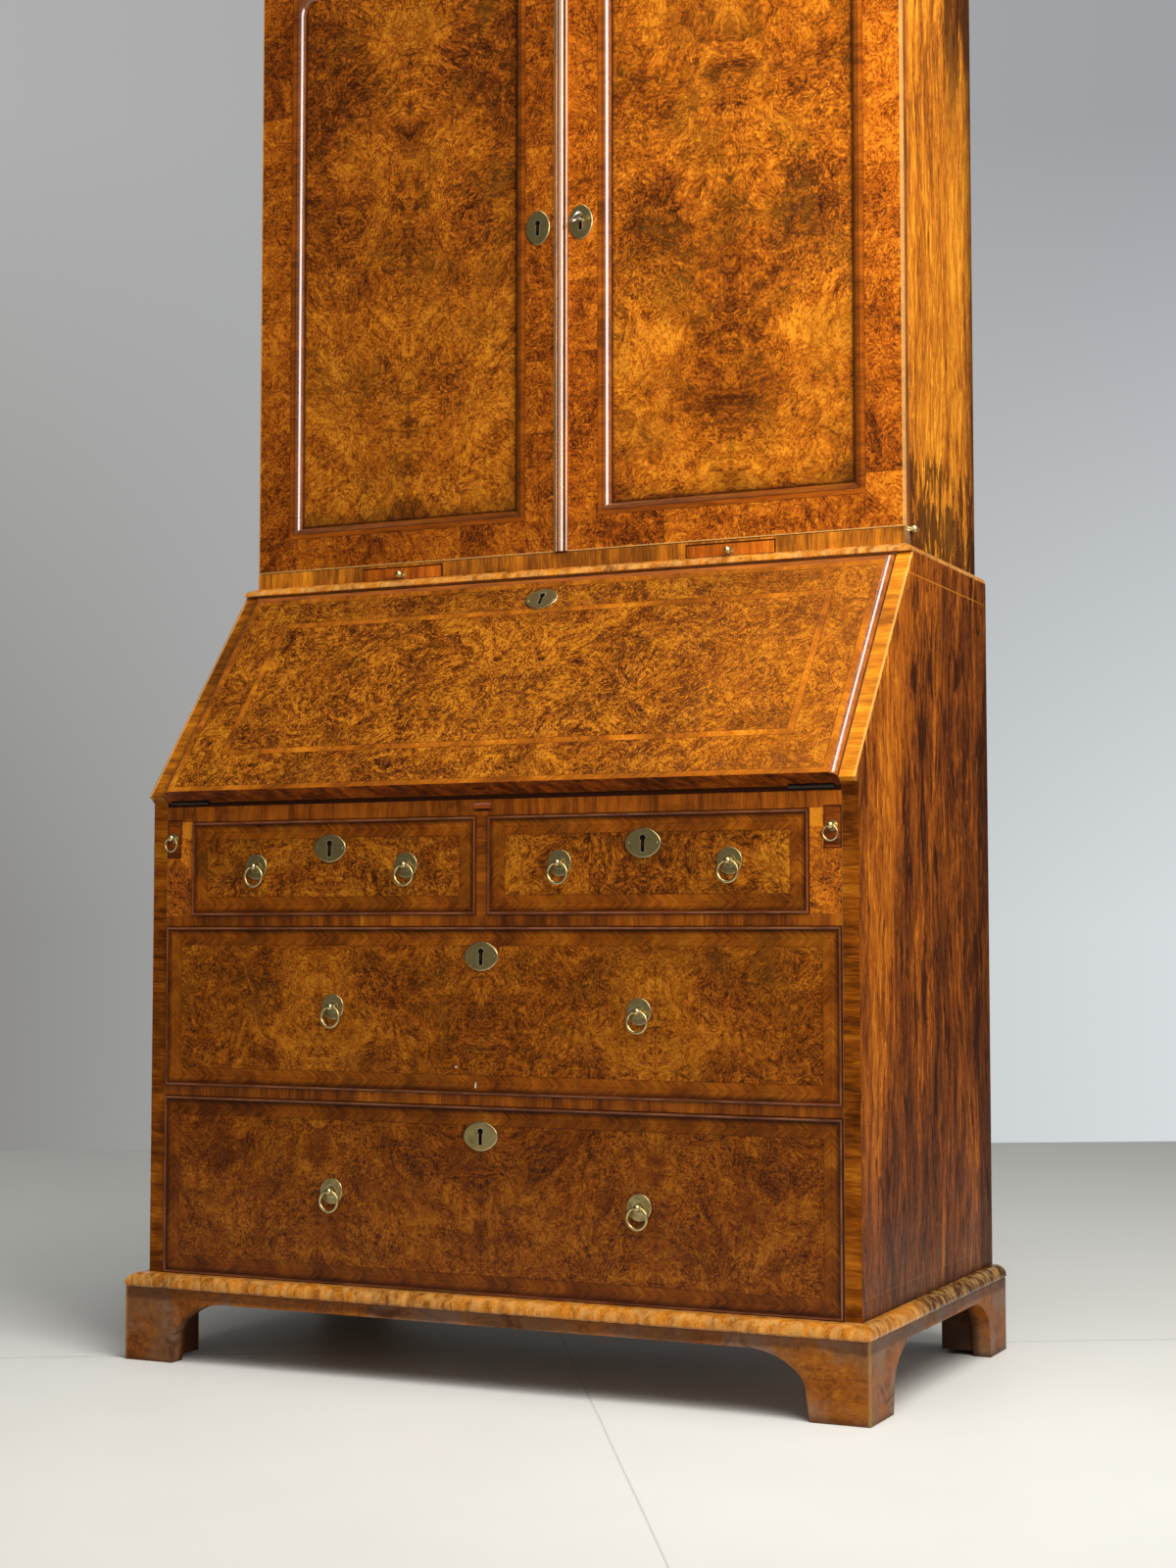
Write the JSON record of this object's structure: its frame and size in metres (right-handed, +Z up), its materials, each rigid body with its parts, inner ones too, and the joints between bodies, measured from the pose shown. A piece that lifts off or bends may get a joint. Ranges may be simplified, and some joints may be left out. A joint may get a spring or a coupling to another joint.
{
  "type": "bureau bookcase",
  "caption": "Walnut bureau with a sloping fall over a desk, short and long drawers on bracket feet, and a bookcase with shouldered-arch doors and candle slides above.",
  "frame": {"origin": "on the floor, at the middle of the whole piece's width and depth", "axes": "+Z up, front towards -Y, +X to the right seen from the front"},
  "size_m": [1.07, 0.574, 2.21],
  "materials": {
    "walnut": "old polish",
    "oak": "bare, aged",
    "brass": "aged",
    "iron": "rubbed"
  },
  "bodies": {
    "case": {"bureau_side_left": "walnut", "bureau_side_right": "walnut", "dustboards": "oak", "desk_board": "walnut", "drawer_partitions": "oak", "bureau_back": "oak", "bureau_top": "walnut", "base_moulding": "walnut", "bracket_base": "walnut", "waist_moulding": "walnut", "pigeonholes": "oak", "bookcase_side_left": "walnut", "bookcase_side_right": "walnut", "bookcase_bottom": "walnut", "candle_rail": "walnut", "bookcase_top": "walnut", "bookcase_back": "oak", "bookcase_shelves": "walnut", "cornice": "walnut", "case_hinges": "brass"},
    "short_drawer_left": {"short_drawer_left_front": "walnut", "short_drawer_left_box": "oak", "short_drawer_left_brass": "brass"},
    "short_drawer_left_ring_left": {"short_drawer_left_ring_left": "brass"},
    "short_drawer_left_ring_right": {"short_drawer_left_ring_right": "brass"},
    "short_drawer_right": {"short_drawer_right_front": "walnut", "short_drawer_right_box": "oak", "short_drawer_right_brass": "brass"},
    "short_drawer_right_ring_left": {"short_drawer_right_ring_left": "brass"},
    "short_drawer_right_ring_right": {"short_drawer_right_ring_right": "brass"},
    "upper_drawer": {"upper_drawer_front": "walnut", "upper_drawer_box": "oak", "upper_drawer_brass": "brass"},
    "upper_drawer_ring_left": {"upper_drawer_ring_left": "brass"},
    "upper_drawer_ring_right": {"upper_drawer_ring_right": "brass"},
    "lower_drawer": {"lower_drawer_front": "walnut", "lower_drawer_box": "oak", "lower_drawer_brass": "brass"},
    "lower_drawer_ring_left": {"lower_drawer_ring_left": "brass"},
    "lower_drawer_ring_right": {"lower_drawer_ring_right": "brass"},
    "loper_left": {"loper_left": "walnut", "loper_knob_left": "brass"},
    "loper_ring_left": {"loper_ring_left": "brass"},
    "loper_right": {"loper_right": "walnut", "loper_knob_right": "brass"},
    "loper_ring_right": {"loper_ring_right": "brass"},
    "door_left": {"door_left_frame": "walnut", "door_left_panel": "walnut", "door_left_brass": "brass"},
    "door_right": {"door_right_frame": "walnut", "door_right_panel": "walnut", "door_right_brass": "brass", "door_astragal": "walnut"},
    "door_key": {"door_key": "iron"},
    "fall": {"fall_board": "walnut", "fall_brass": "brass"},
    "candle_slide_left": {"candle_slide_left": "walnut", "candle_knob_left": "brass"},
    "candle_slide_right": {"candle_slide_right": "walnut", "candle_knob_right": "brass"}
  },
  "joints": [
    {"name": "short_drawer_left_slide", "type": "slide", "parent": "case", "child": "short_drawer_left", "axis": [0, -1, 0], "range_m": [0, 0.4]},
    {"name": "short_drawer_left_ring_left_swing", "type": "hinge", "parent": "short_drawer_left", "child": "short_drawer_left_ring_left", "pos_m": [-0.33625, -0.2662, 0.6501], "axis": [-1, 0, 0], "range_deg": [-5, 95]},
    {"name": "short_drawer_left_ring_right_swing", "type": "hinge", "parent": "short_drawer_left", "child": "short_drawer_left_ring_right", "pos_m": [-0.10925, -0.2662, 0.6501], "axis": [-1, 0, 0], "range_deg": [-5, 95]},
    {"name": "short_drawer_right_slide", "type": "slide", "parent": "case", "child": "short_drawer_right", "axis": [0, -1, 0], "range_m": [0, 0.4]},
    {"name": "short_drawer_right_ring_left_swing", "type": "hinge", "parent": "short_drawer_right", "child": "short_drawer_right_ring_left", "pos_m": [0.10925, -0.2662, 0.6501], "axis": [-1, 0, 0], "range_deg": [-5, 95]},
    {"name": "short_drawer_right_ring_right_swing", "type": "hinge", "parent": "short_drawer_right", "child": "short_drawer_right_ring_right", "pos_m": [0.33625, -0.2662, 0.6501], "axis": [-1, 0, 0], "range_deg": [-5, 95]},
    {"name": "upper_drawer_slide", "type": "slide", "parent": "case", "child": "upper_drawer", "axis": [0, -1, 0], "range_m": [0, 0.4]},
    {"name": "upper_drawer_ring_left_swing", "type": "hinge", "parent": "upper_drawer", "child": "upper_drawer_ring_left", "pos_m": [-0.217, -0.2662, 0.46765], "axis": [-1, 0, 0], "range_deg": [-5, 95]},
    {"name": "upper_drawer_ring_right_swing", "type": "hinge", "parent": "upper_drawer", "child": "upper_drawer_ring_right", "pos_m": [0.217, -0.2662, 0.46765], "axis": [-1, 0, 0], "range_deg": [-5, 95]},
    {"name": "lower_drawer_slide", "type": "slide", "parent": "case", "child": "lower_drawer", "axis": [0, -1, 0], "range_m": [0, 0.4]},
    {"name": "lower_drawer_ring_left_swing", "type": "hinge", "parent": "lower_drawer", "child": "lower_drawer_ring_left", "pos_m": [-0.217, -0.2662, 0.23135], "axis": [-1, 0, 0], "range_deg": [-5, 95]},
    {"name": "lower_drawer_ring_right_swing", "type": "hinge", "parent": "lower_drawer", "child": "lower_drawer_ring_right", "pos_m": [0.217, -0.2662, 0.23135], "axis": [-1, 0, 0], "range_deg": [-5, 95]},
    {"name": "loper_left_slide", "type": "slide", "parent": "case", "child": "loper_left", "axis": [0, -1, 0], "range_m": [0, 0.28]},
    {"name": "loper_ring_left_swing", "type": "hinge", "parent": "loper_left", "child": "loper_ring_left", "pos_m": [-0.46675, -0.267, 0.6897], "axis": [-1, 0, 0], "range_deg": [-5, 95]},
    {"name": "loper_right_slide", "type": "slide", "parent": "case", "child": "loper_right", "axis": [0, -1, 0], "range_m": [0, 0.28]},
    {"name": "loper_ring_right_swing", "type": "hinge", "parent": "loper_right", "child": "loper_ring_right", "pos_m": [0.46675, -0.267, 0.6897], "axis": [-1, 0, 0], "range_deg": [-5, 95]},
    {"name": "door_left_swing", "type": "hinge", "parent": "case", "child": "door_left", "pos_m": [-0.4905, -0.006, 1.6], "axis": [0, 0, -1], "range_deg": [0, 165]},
    {"name": "door_right_swing", "type": "hinge", "parent": "case", "child": "door_right", "pos_m": [0.4905, -0.006, 1.6], "axis": [0, 0, 1], "range_deg": [0, 165]},
    {"name": "door_key_turn", "type": "hinge", "parent": "door_right", "child": "door_key", "pos_m": [0.03, -0.031, 1.5335], "axis": [0, 1, 0], "range_deg": [-60, 90]},
    {"name": "fall_swing", "type": "hinge", "parent": "case", "child": "fall", "pos_m": [0, -0.258, 0.737], "axis": [1, 0, 0], "range_deg": [0, 127.7]},
    {"name": "candle_slide_left_pull", "type": "slide", "parent": "case", "child": "candle_slide_left", "axis": [0, -1, 0], "range_m": [0, 0.13]},
    {"name": "candle_slide_right_pull", "type": "slide", "parent": "case", "child": "candle_slide_right", "axis": [0, -1, 0], "range_m": [0, 0.13]}
  ]
}
